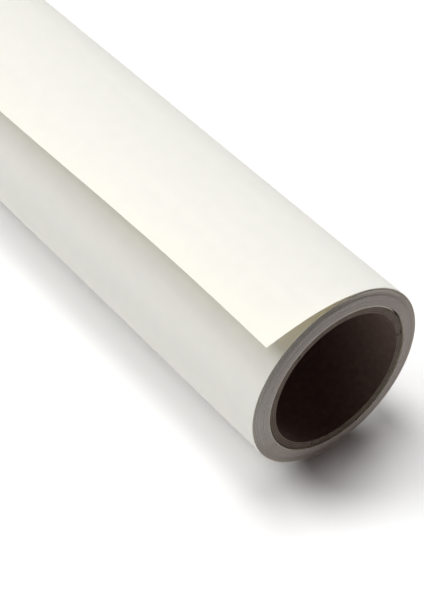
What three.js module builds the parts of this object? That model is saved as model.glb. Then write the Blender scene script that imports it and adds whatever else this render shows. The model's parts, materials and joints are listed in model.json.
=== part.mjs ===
// A half-width roll of seamless backdrop paper: a spiral-wound paperboard core, a strip of start tape,
// one long sheet wound on it, and the sheet's outer turn with its loose end, which peels off the roll.
// Millimetres, +Z up. The roll's axis runs along X. The origin is on the floor under the roll's middle.

import * as THREE from 'three';

// ---- driving dimensions ----

const SHEET_WIDTH = 1350;       // the half-width roll, 53 in
const SHEET_THICKNESS = 0.25;   // about 200 g/m2
const ROLL_R = 38.6;            // outer radius at the apex, where the loose end leaves the roll

const BORE_R = 28.6;            // a 2 1/4 in core bore, for a crossbar
const PLY_COUNT = 6;            // liner, four body plies and outer wrap
const PLY_THICKNESS = 0.4;
const GLUE_LINE = 0.04;

const TAPE_THICKNESS = 0.12;
const TAPE_FROM_FACET = -8;     // where the sheet's inner end is stuck to the core, in facets from the apex
const TAPE_FACETS = 3;          // about 12 mm wide

const WOUND_INNER_R = 31.45;    // where the sheet's inner face starts, over the tape
const TURN_PITCH = 0.283;       // radial growth of each turn: one thickness and a thin layer of air
const TELESCOPE = 1.5;          // the innermost turn stands this much prouder than the outermost
const CORE_RECESS = 0.5;        // the core's end sits this far behind the innermost turn

const FACET_DEG = 7.5;          // every round piece is built on this angular grid
const FACET_PHASE_DEG = 3.75;   // half a facet, so that a facet is centred on the bottom and on the apex

const STRIP_DEG = 15;           // one strip of the outer turn spans two facets
const TURN_STRIPS = 10;         // strips that peel off, counted back from the apex
const LOOSE_STRIPS = 4;         // strips of the loose end past the apex
const LOOSE_STRIP_LENGTH = 8.97;
const LOOSE_FIRST_SLOPE_DEG = -1;   // the first loose strip still rises a little
const LOOSE_SLOPE_STEP_DEG = 3.2;   // and each next one droops by this much more
const STRIP_GAP = 0.3;          // along the sheet, between strips that turn against each other

// ---- places worked out from them ----

const DEG = Math.PI / 180;
const CORE_R = BORE_R + PLY_COUNT * PLY_THICKNESS + (PLY_COUNT - 1) * GLUE_LINE;
const SHEET_END_X = (SHEET_WIDTH - TELESCOPE) / 2;      // the outer turn's near end, with the box centred
const FIRST_STRIP_DEG = -FACET_PHASE_DEG - TURN_STRIPS * STRIP_DEG;

// The sheet's middle surface on the outer turn. Angles run from the apex, positive towards -Y, where
// the loose end hangs; the turn that ends at the apex started one pitch lower, a full turn back.
function turnRadius(deg) {
  return ROLL_R - SHEET_THICKNESS / 2 + TURN_PITCH * deg / 360;
}

const AXIS_HEIGHT = (turnRadius(-180) + SHEET_THICKNESS / 2) * Math.cos(FACET_PHASE_DEG * DEG);

// ---- materials ----

function finish(color, roughness) {
  return new THREE.MeshStandardMaterial({ color, roughness, metalness: 0, side: THREE.FrontSide });
}

const WHITE_PAPER = 0xf3f2ea;
const LINER_BOARD = 0x3a2b24;
const BODY_BOARD = 0x77665a;
const OUTER_BOARD = 0x65564b;
const TAPE_FILM = 0xc9bfa4;

// ---- builders ----

// A point of the cross-section at an angle from the apex: x is the row's Y, y is its Z above the axis.
function polar(radius, deg) {
  return new THREE.Vector2(-radius * Math.sin(deg * DEG), radius * Math.cos(deg * DEG));
}

// A cross-section drawn about the roll's axis, drawn out along X from one end to the other.
function alongRoll(name, shape, startX, length, material) {
  const geometry = new THREE.ExtrudeGeometry(shape, { depth: length, steps: 1, bevelEnabled: false });
  const mesh = new THREE.Mesh(geometry, material);
  mesh.name = name;
  mesh.position.z = startX;
  return mesh;
}

function facetCircle(radius) {
  const points = [];
  for (let deg = FACET_PHASE_DEG; deg < 360; deg += FACET_DEG) {
    points.push(polar(radius, deg));
  }
  return points;
}

function tube(name, innerR, outerR, startX, length, material) {
  const shape = new THREE.Shape(facetCircle(outerR));
  shape.holes.push(new THREE.Path(facetCircle(innerR).reverse()));
  return alongRoll(name, shape, startX, length, material);
}

// A strip of sheet whose middle line is given, offset by half the thickness to each side.
function strip(name, middle, material) {
  const half = SHEET_THICKNESS / 2;
  const outer = [];
  const inner = [];
  for (let i = 0; i < middle.length; i += 1) {
    const before = middle[Math.max(i - 1, 0)];
    const after = middle[Math.min(i + 1, middle.length - 1)];
    const normal = new THREE.Vector2(after.y - before.y, before.x - after.x).normalize();
    outer.push(middle[i].clone().addScaledVector(normal, half));
    inner.push(middle[i].clone().addScaledVector(normal, -half));
  }
  const shape = new THREE.Shape(outer.concat(inner.reverse()));
  return alongRoll(name, shape, SHEET_END_X - SHEET_WIDTH, SHEET_WIDTH, material);
}

// The middle line of the outer turn between two angles on the facet grid.
function turnLine(fromDeg, toDeg) {
  const line = [];
  const count = Math.round((toDeg - fromDeg) / FACET_DEG);
  for (let i = 0; i <= count; i += 1) {
    const deg = fromDeg + i * FACET_DEG;
    line.push(polar(turnRadius(deg), deg));
  }
  return line;
}

// Draws a line's two ends in by half the gap that lets neighbouring strips turn.
function drawIn(line, atStart, atEnd) {
  const pull = (end, next) => end.add(next.clone().sub(end).setLength(STRIP_GAP / 2));
  if (atStart) {
    pull(line[0], line[1]);
  }
  if (atEnd) {
    pull(line[line.length - 1], line[line.length - 2]);
  }
  return line;
}

// ---- pieces ----

// The core: spiral-wound paperboard, told apart ply by ply.
function core() {
  const names = ['core_inner_liner', 'core_body_ply_1', 'core_body_ply_2', 'core_body_ply_3',
    'core_body_ply_4', 'core_outer_wrap'];
  const startX = SHEET_END_X + TELESCOPE - CORE_RECESS - SHEET_WIDTH;
  return names.map((name, i) => {
    const innerR = BORE_R + i * (PLY_THICKNESS + GLUE_LINE);
    let color = BODY_BOARD;
    if (i === 0) {
      color = LINER_BOARD;
    } else if (i === PLY_COUNT - 1) {
      color = OUTER_BOARD;
    }
    return tube(name, innerR, innerR + PLY_THICKNESS, startX, SHEET_WIDTH, finish(color, 0.9));
  });
}

// The tape that holds the sheet's inner end on the core, in the thin space under the first turn.
function startTape() {
  const innerR = (CORE_R + WOUND_INNER_R - TAPE_THICKNESS) / 2;
  const at = [];
  for (let i = 0; i <= TAPE_FACETS; i += 1) {
    at.push(FACET_PHASE_DEG + (TAPE_FROM_FACET + i) * FACET_DEG);
  }
  const outer = at.map((deg) => polar(innerR + TAPE_THICKNESS, deg));
  const inner = at.map((deg) => polar(innerR, deg)).reverse();
  const startX = SHEET_END_X + TELESCOPE - CORE_RECESS - SHEET_WIDTH;
  return alongRoll('start_tape', new THREE.Shape(outer.concat(inner)), startX, SHEET_WIDTH,
    finish(TAPE_FILM, 0.5));
}

// The sheet on the roll: one spiral from its inner end, over the tape, out to where it begins to peel.
// It is drawn out flat-ended, then each turn is slid along X so that the inner ones stand prouder.
function woundSheet() {
  const turns = Math.floor((ROLL_R - WOUND_INNER_R - SHEET_THICKNESS) / TURN_PITCH);
  const from = -360 * turns + FACET_PHASE_DEG + TAPE_FROM_FACET * FACET_DEG;
  const mesh = strip('wound_sheet', drawIn(turnLine(from, FIRST_STRIP_DEG), false, true),
    finish(WHITE_PAPER, 0.8));
  const position = mesh.geometry.attributes.position;
  const outermost = turnRadius(0);
  const innermost = turnRadius(from);
  for (let i = 0; i < position.count; i += 1) {
    const radius = Math.hypot(position.getX(i), position.getY(i));
    const depth = Math.min(Math.max((outermost - radius) / (outermost - innermost), 0), 1);
    position.setZ(i, position.getZ(i) + TELESCOPE * depth);
  }
  return mesh;
}

// The strips of the outer turn that peel off, from the back of the roll up to the apex.
function turnStrips() {
  const strips = [];
  for (let i = 0; i < TURN_STRIPS; i += 1) {
    const from = FIRST_STRIP_DEG + i * STRIP_DEG;
    const number = String(i + 1).padStart(2, '0');
    strips.push(strip(`outer_turn_strip_${number}`, drawIn(turnLine(from, from + STRIP_DEG), true, true),
      finish(WHITE_PAPER, 0.8)));
  }
  return strips;
}

// The loose end: nearly flat strips that leave the roll at the apex and droop a little.
function looseStrips() {
  const strips = [];
  const from = polar(turnRadius(-FACET_PHASE_DEG), -FACET_PHASE_DEG);
  for (let i = 0; i < LOOSE_STRIPS; i += 1) {
    const slope = (LOOSE_FIRST_SLOPE_DEG + i * LOOSE_SLOPE_STEP_DEG) * DEG;
    const step = new THREE.Vector2(-Math.cos(slope), -Math.sin(slope)).multiplyScalar(LOOSE_STRIP_LENGTH);
    const to = from.clone().add(step);
    strips.push(strip(`loose_end_strip_${i + 1}`, drawIn([from.clone(), to.clone()], true, i < LOOSE_STRIPS - 1),
      finish(WHITE_PAPER, 0.8)));
    from.copy(to);
  }
  return strips;
}

// ---- the roll ----

const roll = new THREE.Group();
roll.add(...core(), startTape(), woundSheet(), ...turnStrips(), ...looseStrips());
roll.quaternion.setFromRotationMatrix(new THREE.Matrix4().makeBasis(
  new THREE.Vector3(0, 1, 0),
  new THREE.Vector3(0, 0, 1),
  new THREE.Vector3(1, 0, 0),
));
roll.position.z = AXIS_HEIGHT;

const object = new THREE.Group();
object.add(roll);
export default object;
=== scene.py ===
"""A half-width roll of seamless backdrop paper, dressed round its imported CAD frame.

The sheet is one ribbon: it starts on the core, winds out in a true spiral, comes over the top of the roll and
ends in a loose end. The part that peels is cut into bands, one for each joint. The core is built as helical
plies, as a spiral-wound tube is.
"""

import json
import math

import bpy
import numpy as np
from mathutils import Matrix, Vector


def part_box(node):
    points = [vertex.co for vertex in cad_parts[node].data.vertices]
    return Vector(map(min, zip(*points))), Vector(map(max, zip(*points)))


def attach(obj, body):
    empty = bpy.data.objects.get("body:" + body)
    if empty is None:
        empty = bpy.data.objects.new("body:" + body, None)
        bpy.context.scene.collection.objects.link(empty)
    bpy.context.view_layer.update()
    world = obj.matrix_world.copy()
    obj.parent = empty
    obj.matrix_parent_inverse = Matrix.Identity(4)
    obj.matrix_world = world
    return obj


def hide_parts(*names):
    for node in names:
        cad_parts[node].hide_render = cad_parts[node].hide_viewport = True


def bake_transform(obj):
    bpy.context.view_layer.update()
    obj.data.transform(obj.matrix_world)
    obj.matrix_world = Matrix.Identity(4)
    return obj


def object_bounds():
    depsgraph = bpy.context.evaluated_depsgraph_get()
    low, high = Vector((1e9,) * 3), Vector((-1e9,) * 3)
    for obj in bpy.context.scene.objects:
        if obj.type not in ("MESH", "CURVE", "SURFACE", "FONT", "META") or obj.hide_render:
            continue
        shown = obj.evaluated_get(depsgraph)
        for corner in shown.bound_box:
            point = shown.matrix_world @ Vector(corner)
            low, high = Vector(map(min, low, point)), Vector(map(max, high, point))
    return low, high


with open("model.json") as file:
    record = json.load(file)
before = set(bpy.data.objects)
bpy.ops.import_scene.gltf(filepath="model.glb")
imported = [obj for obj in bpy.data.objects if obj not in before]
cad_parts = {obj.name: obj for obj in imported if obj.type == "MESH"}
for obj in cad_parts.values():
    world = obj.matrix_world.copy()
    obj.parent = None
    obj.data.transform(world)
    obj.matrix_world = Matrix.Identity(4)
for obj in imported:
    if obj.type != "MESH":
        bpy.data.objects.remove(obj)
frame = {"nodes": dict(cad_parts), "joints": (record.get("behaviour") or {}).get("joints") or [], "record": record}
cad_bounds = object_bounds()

MM = 0.001

# ---- what the frame says ----

JOINTS = {j["name"]: j for j in frame["joints"]}
CORE_LOW, CORE_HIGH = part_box("core_inner_liner")
AXIS = np.array([(CORE_LOW.y + CORE_HIGH.y) / 2, (CORE_LOW.z + CORE_HIGH.z) / 2])
SHEET_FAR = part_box("outer_turn_strip_01")[0].x
SHEET_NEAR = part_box("outer_turn_strip_01")[1].x
SHEET_WIDTH = SHEET_NEAR - SHEET_FAR
CORE_FAR, CORE_NEAR = CORE_LOW.x, CORE_HIGH.x
INNER_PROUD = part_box("wound_sheet")[1].x - SHEET_NEAR

# ---- the sheet ----

SHEET_THICKNESS = 0.25 * MM
WOUND_STEP = math.radians(2.5)      # along the wound spiral
BAND_STEPS = 24                     # along one band of the part that peels
ACROSS_STEPS = 72                   # across those bands ...
ACROSS_CROWDING = 1.4               # ... and the power by which they crowd towards the near end
TURN_STRIPS = sum(n.startswith("outer_turn_strip_") for n in frame["nodes"])
LOOSE_STRIPS = sum(n.startswith("loose_end_strip_") for n in frame["nodes"])

# its inner end, on the core
START_TURNS = 24                    # whole turns between the inner end and the apex ...
START_ANGLE = math.radians(-50)     # ... and where on the core it starts, from the apex
START_SNUG = 0.12 * MM              # the first turn lies this much closer to the core than the spiral
START_LIFT = 0.3 * MM               # and stands off this much where it rides over the sheet's inner end
START_RISE, START_FALL = 40, 70     # degrees over which it comes up to that, and goes down again
START_FADE = 16                     # turns after which neither shows

# its loose end
LOOSE_END_SLOPE = math.radians(-11.8)
LOOSE_STEPS = 64                    # in which its slope is added up
EDGE_WAVES = [(-1.45 * MM, 50 * MM, 280 * MM), (0.7 * MM, 90 * MM, 800 * MM)]   # height, a crest, length
SAG_PER_REACH = 1.78                # how much lower the free edge hangs where it reaches one further
LOOSE_BOW = 0.74 * MM               # how far the loose end is still curled above its even curve
BOW_FROM = 4.5 * MM                 # the curl starts this far before the sheet leaves the roll

# the turns under the loose end
TURNS_PRESSED = 0.55 * MM           # how much lower the outermost lies there, packed without air
PRESSED_AT = [-16, -3, 8, 32, 70]   # degrees from the apex ...
PRESSED_SHARES = [0, 0.8, 1, 0.85, 0]       # ... and the share of it there
TUCKED_AT = [-12, 12, 50, 110, 150]         # degrees from the apex ...
TUCKED_SHARES = [0, 1, 1, 0.3, 0]           # ... and the share of EDGE_TUCKS there

# its cut edge at the roll's ends, by depth from the outermost turn (0) to the innermost (1)
EDGE_DEPTHS = [0.045, 0.08, 0.125, 0.17, 0.25, 0.34, 0.46]
EDGE_OFFSETS = [0, -0.1, 0.14, 0.1, -0.2, -0.25, 0]     # millimetres it stands out at the apex ...
EDGE_TUCKS = [0, -0.8, -1.0, -1.0, -0.75, -0.35, 0]     # ... and where it is tucked under the loose end
EDGE_WANDER = 0.04 * MM             # how far single turns stand in or out besides
WANDER_WAVES = [(1.0, 0.27, 1), (0.7, 0.145, 0), (0.5, 0.61, 2)]    # share, rate per radian, phase
WANDER_FROM = 0.8                   # turns in from the outermost, where that starts
LAST_EDGE_HIGHLIGHT = (0.10, 0.13)            # metres back from where it peels: the painted highlight on its cut edge is full, and gone
FIRST_EDGE_HIGHLIGHT = (0.10, 0.12)           # metres on from its inner end: the same painted highlight, on the innermost turn's cut edge

# ---- the core ----

PLIES = 6
PLY_THICKNESS = 0.4 * MM
PLY_GLUE = 0.02 * MM
CORE_WALL = 2.6 * MM
HELIX_PITCH = 118 * MM
SEAM_WIDTH = 0.35 * MM
SEAM_SPREAD = 2.1                   # radians round the core from one ply's seam to the next one's
PLY_STEP = math.radians(4)
PLY_TRIM = 0.02                     # radians left off at both ends of a ply, where it runs to a point
TAPE_THICKNESS = 0.1 * MM
TAPE_STEPS = 24
TAPE_FAR, TAPE_NEAR = 2 * MM, 0.3 * MM      # how far the tape stops short of the core's ends

# ---- the camera ----

CAMERA_LENS = 99.49
CAMERA_OFFSET = Vector((293.917, -281.741, 435.048)) * MM   # from the axis at the sheet's near edge ...
CAMERA_FOR_RADIUS = 38.25 * MM                              # ... for a roll of this radius ...
CAMERA_RADIUS_AT = math.radians(-216)                       # ... at this angle, low on the left
CAMERA_YAW = math.radians(142.4516)
CAMERA_PITCH = math.radians(-44.4046)
FLOOR_HALF = 20.0                   # metres


# ---- shape helpers: a cross-section point is (y, z), and angles run from the apex towards -Y ----

def polar(radius, angle):
    return AXIS + np.stack([-radius * np.sin(angle), radius * np.cos(angle)], axis=-1)


def angle_and_radius(joint):
    y, z = np.array(JOINTS[joint]["pos_m"][1:]) - AXIS
    return math.atan2(-y, z), math.hypot(y, z)


PEEL_ANGLE, PEEL_RADIUS = angle_and_radius("outer_turn_peel")
LEAVE_ANGLE, LEAVE_RADIUS = angle_and_radius("loose_end_root")
GROWTH = (LEAVE_RADIUS - PEEL_RADIUS) / (LEAVE_ANGLE - PEEL_ANGLE)   # of the spiral, per radian


def spiral_radius(angle):
    return LEAVE_RADIUS + GROWTH * (angle - LEAVE_ANGLE)


INNER_ANGLE = START_ANGLE - 2 * math.pi * START_TURNS


def loose_length():
    """From where the sheet leaves the roll to its free edge."""
    low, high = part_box(f"loose_end_strip_{LOOSE_STRIPS}")
    leave = polar(LEAVE_RADIUS, LEAVE_ANGLE)
    return math.hypot(low.y - leave[0], (low.z + high.z) / 2 - leave[1])


LOOSE_LENGTH = loose_length()


def loose_point(s):
    """Middle line and normal at the lengths s of the loose end.

    It leaves the roll at a tangent, and its slope falls off evenly.
    """
    bend = (LOOSE_END_SLOPE + LEAVE_ANGLE) / LOOSE_LENGTH
    slope = -LEAVE_ANGLE + bend * np.linspace(0, 1, LOOSE_STEPS + 1) * s[:, None]
    step = s / LOOSE_STEPS
    run = ((np.cos(slope)[:, 1:] + np.cos(slope)[:, :-1]) / 2).sum(1) * step
    rise = ((np.sin(slope)[:, 1:] + np.sin(slope)[:, :-1]) / 2).sum(1) * step
    point = polar(LEAVE_RADIUS, LEAVE_ANGLE) + np.stack([-run, rise], axis=-1)
    return point, np.stack([np.sin(slope[:, -1]), np.cos(slope[:, -1])], axis=-1)


def sheet_point(t):
    """Middle line and outward normal of the peeling part.

    t is the angle up to the apex, and past it the length as an angle at the apex's radius.
    """
    flat = np.ravel(t)
    wound = np.minimum(flat, LEAVE_ANGLE)
    past = np.maximum(flat - LEAVE_ANGLE, 0) * LEAVE_RADIUS
    on_roll = polar(spiral_radius(wound), wound)
    roll_normal = np.stack([-np.sin(wound), np.cos(wound)], axis=-1)
    off_roll, off_normal = loose_point(past)
    is_loose = (flat > LEAVE_ANGLE)[:, None]
    shape = np.shape(t) + (2,)
    middle = np.where(is_loose, off_roll, on_roll).reshape(shape)
    return middle, np.where(is_loose, off_normal, roll_normal).reshape(shape)


def band_marks():
    """Where the bands meet: halfway along each rigid strip, and the free edge last."""
    strip = (LEAVE_ANGLE - PEEL_ANGLE) / TURN_STRIPS
    marks = [PEEL_ANGLE + (i - 0.5) * strip for i in range(TURN_STRIPS + 1)]
    loose = LOOSE_LENGTH / LOOSE_STRIPS / LEAVE_RADIUS
    marks += [LEAVE_ANGLE + (i + 0.5) * loose for i in range(LOOSE_STRIPS - 1)]
    return marks + [LEAVE_ANGLE + LOOSE_LENGTH / LEAVE_RADIUS]


def edge_wave(x):
    """The free edge's slow wander along the roll: half of it is reach, and half shows as sag."""
    back = SHEET_NEAR - x
    return sum(high * np.cos(2 * math.pi * (back - crest) / length) for high, crest, length in EDGE_WAVES)


def sag(t, x):
    """How far the loose end hangs below its even curve."""
    share = np.maximum(t - LEAVE_ANGLE, 0) * LEAVE_RADIUS / LOOSE_LENGTH
    return SAG_PER_REACH * edge_wave(x) / 2 * share ** 2


def bow(t):
    """How far the loose end stands above its even curve: most at two fifths, and easing in at both ends."""
    past = (t - LEAVE_ANGLE) * LEAVE_RADIUS + BOW_FROM
    share = np.clip(past / (LOOSE_LENGTH + BOW_FROM), 0, 1)
    return LOOSE_BOW * np.sin(math.pi * share ** 0.75) ** 1.5


def reach(x):
    """How much further than its straight cut the free edge reaches, as an angle like t."""
    return edge_wave(x) / 2 / LEAVE_RADIUS


# ---- mesh helpers ----

def new_object(name, vertices, faces, materials, face_materials=None, uv=None, sharp=math.radians(35)):
    mesh = bpy.data.meshes.new(name)
    mesh.from_pydata(np.asarray(vertices).tolist(), [], np.asarray(faces).tolist())
    for material in materials:
        mesh.materials.append(material)
    if face_materials is not None:
        mesh.polygons.foreach_set("material_index", np.asarray(face_materials, np.int32))
    if uv is not None:
        layer = mesh.uv_layers.new(name="sheet")
        loops = np.zeros(len(mesh.loops), np.int32)
        mesh.loops.foreach_get("vertex_index", loops)
        layer.data.foreach_set("uv", np.asarray(uv, np.float32)[loops].ravel())
    mesh.polygons.foreach_set("use_smooth", np.ones(len(mesh.polygons), bool))
    mesh.set_sharp_from_angle(angle=sharp)
    mesh.update()
    obj = bpy.data.objects.new(name, mesh)
    bpy.context.scene.collection.objects.link(obj)
    return obj


def ribbon(name, outer, inner, along, materials):
    """A closed sheet from two grids of points, (steps, stations, 3): its faces, cut edges and inner face.

    materials are those of the outer face, the cut edges and, if it differs, the inner face. along is the
    length along the sheet at each step, or at each step and station.
    """
    n, m = outer.shape[:2]
    vertices = np.concatenate([outer.reshape(-1, 3), inner.reshape(-1, 3)])
    grid = np.arange(n * m).reshape(n, m)
    top = np.stack([grid[:-1, :-1], grid[:-1, 1:], grid[1:, 1:], grid[1:, :-1]], axis=-1).reshape(-1, 4)
    under = top[:, ::-1] + n * m

    def wall(line):
        return np.stack([line[:-1], line[1:], line[1:] + n * m, line[:-1] + n * m], axis=-1)

    walls = np.concatenate([wall(grid[:, 0]), wall(grid[::-1, -1]), wall(grid[0, ::-1]), wall(grid[-1, :])])
    faces = np.concatenate([top, under, walls])
    inner_kind = 2 if len(materials) > 2 else 0
    kinds = np.concatenate([np.zeros(len(top)), np.full(len(under), inner_kind), np.ones(len(walls))])
    along = np.broadcast_to(along if np.ndim(along) == 2 else along[:, None], (n, m))
    uv = np.stack([along.ravel(), outer[..., 0].ravel()], axis=-1)
    return new_object(name, vertices, faces, materials, kinds, np.concatenate([uv, uv]))


def sheet_grids(middle, normal, x, low=0.0):
    """Outer and inner grids of a sheet, from its middle line and normal at the stations x, lower by low."""
    grids = []
    for side in (0.5, -0.5):
        offset = np.broadcast_to(side * SHEET_THICKNESS - low, x.shape)
        grids.append(np.concatenate([x[..., None], middle + offset[..., None] * normal], axis=-1))
    return grids


def arc_grid(radius, angle, x):
    """Points at one radius round the axis: two stations x for each angle."""
    yz = np.repeat(polar(radius, angle)[:, None], 2, axis=1)
    return np.concatenate([x[..., None], yz], axis=-1)


# ---- materials ----

def material(name):
    made = bpy.data.materials.new(name)
    made.use_nodes = True
    nodes, links = made.node_tree.nodes, made.node_tree.links
    return made, nodes, links, nodes["Principled BSDF"]


def noise(nodes, links, vector, scale, detail=3.0, roughness=0.5):
    node = nodes.new("ShaderNodeTexNoise")
    node.inputs["Scale"].default_value = scale
    node.inputs["Detail"].default_value = detail
    node.inputs["Roughness"].default_value = roughness
    links.new(vector, node.inputs["Vector"])
    return node.outputs["Fac"]


def ramp(nodes, links, fac, stops):
    node = nodes.new("ShaderNodeValToRGB")
    elements = node.color_ramp.elements
    while len(elements) < len(stops):
        elements.new(0.5)
    for element, (position, colour) in zip(elements, stops):
        element.position = position
        element.color = (*colour, 1)
    links.new(fac, node.inputs["Fac"])
    return node.outputs["Color"]


def mixed(nodes, links, fac, a, b, blend="MIX"):
    node = nodes.new("ShaderNodeMix")
    node.data_type = "RGBA"
    node.blend_type = blend
    for socket, value in ((node.inputs["Factor"], fac), (node.inputs[6], a), (node.inputs[7], b)):
        if isinstance(value, bpy.types.NodeSocket):
            links.new(value, socket)
        else:
            socket.default_value = value if isinstance(value, float) else (*value, 1)
    return node.outputs[2]


def bumped(nodes, links, shader, height, strength, distance):
    node = nodes.new("ShaderNodeBump")
    node.inputs["Strength"].default_value = strength
    node.inputs["Distance"].default_value = distance
    links.new(height, node.inputs["Height"])
    links.new(node.outputs["Normal"], shader.inputs["Normal"])


def stretched(nodes, links, source, scale):
    node = nodes.new("ShaderNodeMapping")
    node.inputs["Scale"].default_value = scale
    links.new(source, node.inputs["Vector"])
    return node.outputs["Vector"]


def map_range(nodes, links, value, none, full):
    """0 to 1, as value goes from none to full."""
    node = nodes.new("ShaderNodeMapRange")
    node.inputs["From Min"].default_value = none
    node.inputs["From Max"].default_value = full
    links.new(value, node.inputs["Value"])
    return node.outputs["Result"]


def paper_side(name, dark, light, through):
    """Matt uncoated paper: cloudy formation, a fine felt of fibres, and a little light that comes through."""
    made, nodes, links, shader = material(name)
    sheet = nodes.new("ShaderNodeTexCoord").outputs["UV"]
    cloud = noise(nodes, links, sheet, 160, 4)
    felt = noise(nodes, links, stretched(nodes, links, sheet, (1.6, 1.0, 1.0)), 2600, 3, 0.6)
    base = ramp(nodes, links, cloud, [(0.3, dark), (0.7, light)])
    fibres = ramp(nodes, links, felt, [(0.25, (0.955, 0.955, 0.95)), (0.75, (1.0, 1.0, 1.0))])
    links.new(mixed(nodes, links, 1.0, base, fibres, "MULTIPLY"), shader.inputs["Base Color"])
    shader.inputs["Roughness"].default_value = 0.72
    shader.inputs["Specular IOR Level"].default_value = 0.25
    shader.inputs["Sheen Weight"].default_value = 0.08
    shader.inputs["Sheen Roughness"].default_value = 0.6
    bumped(nodes, links, shader, felt, 0.25, 0.03 * MM)
    thin = nodes.new("ShaderNodeBsdfTranslucent")
    thin.inputs["Color"].default_value = (*through, 1)
    both = nodes.new("ShaderNodeAddShader")
    links.new(shader.outputs[0], both.inputs[0])
    links.new(thin.outputs[0], both.inputs[1])
    links.new(both.outputs[0], nodes["Material Output"].inputs["Surface"])
    return made


def paper_edge():
    """The sheet's cut edge: fibre ends, painted shading between turns, painted highlights on first and last turn.
    """
    made, nodes, links, shader = material("paper_edge")
    coordinates = nodes.new("ShaderNodeTexCoord")
    fibres = noise(nodes, links, coordinates.outputs["Object"], 1500, 3, 0.55)
    split = nodes.new("ShaderNodeSeparateXYZ")
    links.new(coordinates.outputs["UV"], split.inputs[0])
    along = split.outputs["X"]
    bands = map_range(nodes, links, along, -WOUND_LENGTH, 0.0)
    last = map_range(nodes, links, along, -LAST_EDGE_HIGHLIGHT[1], -LAST_EDGE_HIGHLIGHT[0])
    first = map_range(nodes, links, along, FIRST_EDGE_HIGHLIGHT[1] - WOUND_LENGTH, FIRST_EDGE_HIGHLIGHT[0] - WOUND_LENGTH)
    # the cut edge's fibre colour, darkened as painted shading for the light trapped between the turns
    fibre_and_gap_shade = ramp(nodes, links, fibres, [(0.3, (0.355, 0.318, 0.297)), (0.7, (0.410, 0.370, 0.345))])
    # painted shading and highlights by turn: lighter innermost and proud turns, darker recessed and outermost
    painted_shade_and_highlight = ramp(nodes, links, bands, [
        (0.0, (1.0, 0.97, 0.97)), (0.05, (0.93, 0.93, 0.93)), (0.5, (0.94, 0.94, 0.94)),
        (0.64, (0.87, 0.87, 0.86)), (0.76, (0.88, 0.885, 0.85)), (0.85, (0.98, 0.98, 0.94)),
        (0.95, (0.88, 0.88, 0.82)),
    ])
    base = mixed(nodes, links, 1.0, fibre_and_gap_shade, painted_shade_and_highlight, "MULTIPLY")
    # painted highlight: the lit cut edge of the outermost wound turn, paler over its last stretch
    base = mixed(nodes, links, last, base, (0.78, 0.765, 0.70))
    # painted highlight: the lit cut edge of the innermost turn, paler over its first stretch
    base = mixed(nodes, links, first, base, (0.62, 0.58, 0.52))
    links.new(base, shader.inputs["Base Color"])
    shader.inputs["Roughness"].default_value = 0.9
    shader.inputs["Specular IOR Level"].default_value = 0.15
    bumped(nodes, links, shader, fibres, 0.4, 0.04 * MM)
    return made


def board(name, dark, light, fleck=0.72):
    """Recycled paperboard: mottled pulp with flecks, and fibres drawn along the ply's helix."""
    made, nodes, links, shader = material(name)
    place = nodes.new("ShaderNodeTexCoord").outputs["Object"]
    pulp = noise(nodes, links, place, 420, 5, 0.6)
    flecks = noise(nodes, links, stretched(nodes, links, place, (0.35, 1.0, 1.0)), 1900, 3, 0.7)
    base = ramp(nodes, links, pulp, [(0.3, dark), (0.72, light)])
    grain = ramp(nodes, links, flecks, [(0.3, (fleck, fleck, fleck)), (0.62, (1.0, 1.0, 1.0))])
    links.new(mixed(nodes, links, 1.0, base, grain, "MULTIPLY"), shader.inputs["Base Color"])
    shader.inputs["Roughness"].default_value = 0.85
    shader.inputs["Specular IOR Level"].default_value = 0.25
    bumped(nodes, links, shader, flecks, 0.4, 0.06 * MM)
    return made


def tape_film():
    made, nodes, links, shader = material("tape_film")
    place = nodes.new("ShaderNodeTexCoord").outputs["Object"]
    streaks = noise(nodes, links, stretched(nodes, links, place, (0.1, 1.0, 1.0)), 900, 3)
    base = ramp(nodes, links, streaks, [(0.3, (0.42, 0.37, 0.27)), (0.7, (0.52, 0.47, 0.36))])
    links.new(base, shader.inputs["Base Color"])
    shader.inputs["Roughness"].default_value = 0.35
    bumped(nodes, links, shader, streaks, 0.2, 0.02 * MM)
    return made


PEEL_START = band_marks()[0]
WOUND_LENGTH = (PEEL_START - INNER_ANGLE) * (spiral_radius(PEEL_START) + spiral_radius(INNER_ANGLE)) / 2
THROUGH_PAPER = (0.330, 0.302, 0.218)
PAPER = [
    paper_side("paper_face", (0.602, 0.624, 0.638), (0.619, 0.641, 0.656), THROUGH_PAPER),
    paper_edge(),
    paper_side("paper_reverse", (0.612, 0.590, 0.485), (0.632, 0.610, 0.510), THROUGH_PAPER),
]


# ---- the sheet's pieces ----

def from_apex(angle):
    """Degrees from the apex, -180 to 180, on any turn."""
    return np.degrees(np.remainder(angle + math.pi, 2 * math.pi) - math.pi)


def wound_radius(angle):
    """The spiral, snug on the core but off it over the inner end, and pressed down under the loose end."""
    turns = (angle - INNER_ANGLE) / (2 * math.pi)
    past = (turns - np.round(turns)) * 360
    over = np.where(past < 0, 1 + past / START_RISE, 1 - past / START_FALL).clip(0, 1) * (turns > 0.5)
    snug = (START_LIFT * over - START_SNUG) * np.clip(1 - turns / START_FADE, 0, 1)
    pressed = TURNS_PRESSED * turns / START_TURNS * np.interp(from_apex(angle), PRESSED_AT, PRESSED_SHARES)
    return spiral_radius(angle) + snug - pressed


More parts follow.
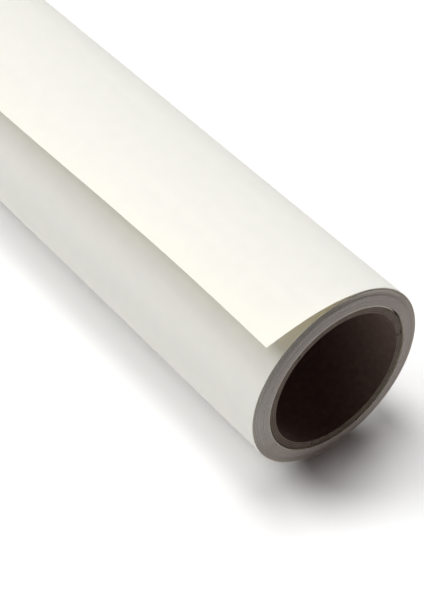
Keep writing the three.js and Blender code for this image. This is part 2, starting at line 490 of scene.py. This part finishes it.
def near_edge(angle, depth):
    """Where each turn's near edge lies along the roll: inner turns stand prouder, and some are drawn in."""
    tucked = np.interp(from_apex(angle), TUCKED_AT, TUCKED_SHARES)
    around = 0.6 + 0.4 * np.cos(angle)      # offsets are full at the apex and a fifth at the bottom
    offset = (1 - tucked) * around * np.interp(depth, EDGE_DEPTHS, EDGE_OFFSETS)
    offset = offset + tucked * np.interp(depth, EDGE_DEPTHS, EDGE_TUCKS)
    wander = sum(share * np.sin(angle * rate + phase) for share, rate, phase in WANDER_WAVES)
    fade = np.clip(-angle / math.pi - 2 * WANDER_FROM, 0, 1)
    return SHEET_NEAR + INNER_PROUD * depth + offset * MM + EDGE_WANDER * wander * fade


def wound_sheet():
    """The spiral on the core, from its inner end to the first band that peels."""
    steps = int(math.ceil((PEEL_START - INNER_ANGLE) / WOUND_STEP))
    angle = np.linspace(INNER_ANGLE, PEEL_START, steps + 1)
    middle = polar(wound_radius(angle), angle)
    normal = np.stack([-np.sin(angle), np.cos(angle)], axis=-1)
    near = near_edge(angle, angle / INNER_ANGLE)
    x = np.stack([near - SHEET_WIDTH, near], axis=-1)
    outer, inner = sheet_grids(middle[:, None], normal[:, None], x)
    along = np.concatenate([[0], np.cumsum(np.hypot(*np.diff(middle, axis=0).T))])
    piece = ribbon("wound_sheet_spiral", outer, inner, along - along[-1], PAPER)
    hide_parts("wound_sheet")
    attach(piece, "roll")


def stations():
    """Places across the sheet, closer together near the end that is seen close up."""
    return SHEET_NEAR - SHEET_WIDTH * np.linspace(0, 1, ACROSS_STEPS + 1)[::-1] ** ACROSS_CROWDING


def peeling_bands():
    """One band for each joint, named after the joint's child body."""
    marks = band_marks()
    across = stations()
    for i, joint in enumerate(frame["joints"]):
        share = np.linspace(0, 1, BAND_STEPS + 1)[:, None]
        end = marks[i + 1] + (reach(across) if i + 2 == len(marks) else 0 * across)
        t = marks[i] + (end - marks[i]) * share
        middle, normal = sheet_point(t)
        x = np.broadcast_to(across, t.shape)
        outer, inner = sheet_grids(middle, normal, x, sag(t, x) - bow(t))
        along = (t - marks[0]) * LEAVE_RADIUS
        child = frame["record"]["behaviour"]["bodies"][joint["child"]][0]
        piece = ribbon(child + "_sheet", outer, inner, along, PAPER)
        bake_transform(piece)
        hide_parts(child)


# ---- the core's pieces ----

def helical_ply(name, node, inner_radius, outer_radius, phase, looks):
    """One ply: a strip wound in a helix and cut square at both ends of the core."""
    turns = (CORE_NEAR - CORE_FAR + HELIX_PITCH) / HELIX_PITCH
    steps = int(turns * 2 * math.pi / PLY_STEP)
    angle = np.linspace(PLY_TRIM, turns * 2 * math.pi - PLY_TRIM, steps)
    start = CORE_FAR + HELIX_PITCH * (angle / (2 * math.pi) - 1)
    low = np.clip(start, CORE_FAR, CORE_NEAR)
    high = np.clip(start + HELIX_PITCH - SEAM_WIDTH, CORE_FAR, CORE_NEAR)
    keep = high - low > 0.01 * MM
    angle, low, high = angle[keep], low[keep], high[keep]
    x = np.stack([low, high], axis=-1)
    outer, inner = (arc_grid(radius, phase + angle, x) for radius in (outer_radius, inner_radius))
    piece = ribbon(name, outer, inner, angle * inner_radius, looks)
    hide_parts(node)
    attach(piece, "roll")


def core():
    liner = board("liner_board", (0.175, 0.117, 0.098), (0.22, 0.152, 0.128), 0.86)
    body = board("body_board", (0.075, 0.058, 0.046), (0.120, 0.096, 0.076))
    pale = board("pale_board", (0.130, 0.101, 0.078), (0.190, 0.149, 0.116))
    wrap = board("wrap_board", (0.055, 0.040, 0.030), (0.085, 0.064, 0.048))
    nodes = ["core_inner_liner"] + [f"core_body_ply_{i}" for i in range(1, PLIES - 1)] + ["core_outer_wrap"]
    bore = (CORE_HIGH.z - CORE_LOW.z) / 2 - PLY_THICKNESS
    step = (CORE_WALL - PLY_THICKNESS) / (PLIES - 1)
    for i, node in enumerate(nodes):
        look = liner if i == 0 else wrap if i == PLIES - 1 else body
        cut = pale if i % 2 == 0 else body
        inner = bore + i * step
        outer = inner + step - PLY_GLUE if i < PLIES - 1 else inner + PLY_THICKNESS
        helical_ply(node + "_helix", node, inner, outer, i * SEAM_SPREAD, [look, cut])


def start_tape():
    """The tape under the sheet's inner end."""
    low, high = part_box("start_tape")
    corners = np.array([[low.y, high.z], [high.y, low.z]]) - AXIS
    angles = np.arctan2(-corners[:, 0], corners[:, 1])
    radius = np.hypot(*corners.T).mean()
    angle = np.linspace(angles.min(), angles.max(), TAPE_STEPS + 1)
    x = np.broadcast_to([CORE_FAR + TAPE_FAR, CORE_NEAR - TAPE_NEAR], (len(angle), 2))
    outer, inner = (arc_grid(radius + side * TAPE_THICKNESS, angle, x) for side in (0.5, -0.5))
    film = tape_film()
    piece = ribbon("start_tape_film", outer, inner, angle * radius, [film, film])
    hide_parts("start_tape")
    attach(piece, "roll")


# ---- floor, light and camera ----

def floor():
    made, nodes, links, shader = material("floor_sweep")
    shader.inputs["Base Color"].default_value = (0.985, 0.985, 0.985, 1)
    shader.inputs["Roughness"].default_value = 0.9
    shader.inputs["Specular IOR Level"].default_value = 0.1
    low = min(cad_bounds[0].z, AXIS[1] - spiral_radius(-math.pi) - SHEET_THICKNESS / 2)
    corners = [(-1, -1), (1, -1), (1, 1), (-1, 1)]
    vertices = [(x * FLOOR_HALF, y * FLOOR_HALF, low) for x, y in corners]
    plane = new_object("floor", vertices, [(0, 1, 2, 3)], [made])


def direction(turn, lift):
    """The unit vector at an angle from +X towards +Y, and an angle up from the floor."""
    return Vector((math.cos(turn) * math.cos(lift), math.sin(turn) * math.cos(lift), math.sin(lift)))


def soft_light(name, azimuth, elevation, width, strength, colour):
    """A broad, distant light: azimuth from +X towards +Y, width as seen from the roll, all in degrees."""
    data = bpy.data.lights.new(name, "SUN")
    data.energy = strength * math.pi
    data.angle = math.radians(width)
    data.color = colour
    lamp = bpy.data.objects.new(name, data)
    towards = direction(math.radians(azimuth), math.radians(elevation))
    lamp.rotation_mode = "QUATERNION"
    lamp.rotation_quaternion = towards.to_track_quat("Z", "Y")
    bpy.context.scene.collection.objects.link(lamp)


def lights():
    """Three big soft boxes behind and above the roll, a weak one in front, and a white backdrop."""
    soft_light("left_box", 215, 41, 36, 0.67, (1.0, 1.0, 0.995))
    soft_light("right_box", 120, 38, 28, 0.23, (1.0, 1.0, 1.0))
    soft_light("top_box", 160, 74, 31, 0.66, (1.0, 1.0, 1.0))
    soft_light("front_fill", 0, 12, 30, 0.06, (1.0, 0.84, 0.82))
    world = bpy.data.worlds.new("studio")
    bpy.context.scene.world = world
    world.use_nodes = True
    nodes, links = world.node_tree.nodes, world.node_tree.links
    dim = nodes["Background"]
    dim.inputs["Color"].default_value = (1.0, 0.82, 0.81, 1)
    dim.inputs["Strength"].default_value = 0.040
    white = nodes.new("ShaderNodeBackground")
    white.inputs["Color"].default_value = (1, 1, 1, 1)
    seen = nodes.new("ShaderNodeLightPath").outputs["Is Camera Ray"]
    mix = nodes.new("ShaderNodeMixShader")
    links.new(seen, mix.inputs["Fac"])
    links.new(dim.outputs[0], mix.inputs[1])
    links.new(white.outputs[0], mix.inputs[2])
    links.new(mix.outputs[0], nodes["World Output"].inputs["Surface"])
    bpy.context.scene.view_settings.view_transform = "Standard"


def camera():
    """Above and in front of the near end, looking down the roll."""
    data = bpy.data.cameras.new("camera")
    data.lens = CAMERA_LENS
    data.clip_start = 0.01
    eye = bpy.data.objects.new("camera", data)
    scale = (spiral_radius(CAMERA_RADIUS_AT) + SHEET_THICKNESS / 2) / CAMERA_FOR_RADIUS
    eye.location = Vector((SHEET_NEAR, *AXIS)) + CAMERA_OFFSET * scale
    eye.rotation_mode = "QUATERNION"
    eye.rotation_quaternion = direction(CAMERA_YAW, CAMERA_PITCH).to_track_quat("-Z", "Y")
    bpy.context.scene.collection.objects.link(eye)
    bpy.context.scene.camera = eye


wound_sheet()
peeling_bands()
core()
start_tape()
floor()
lights()
camera()
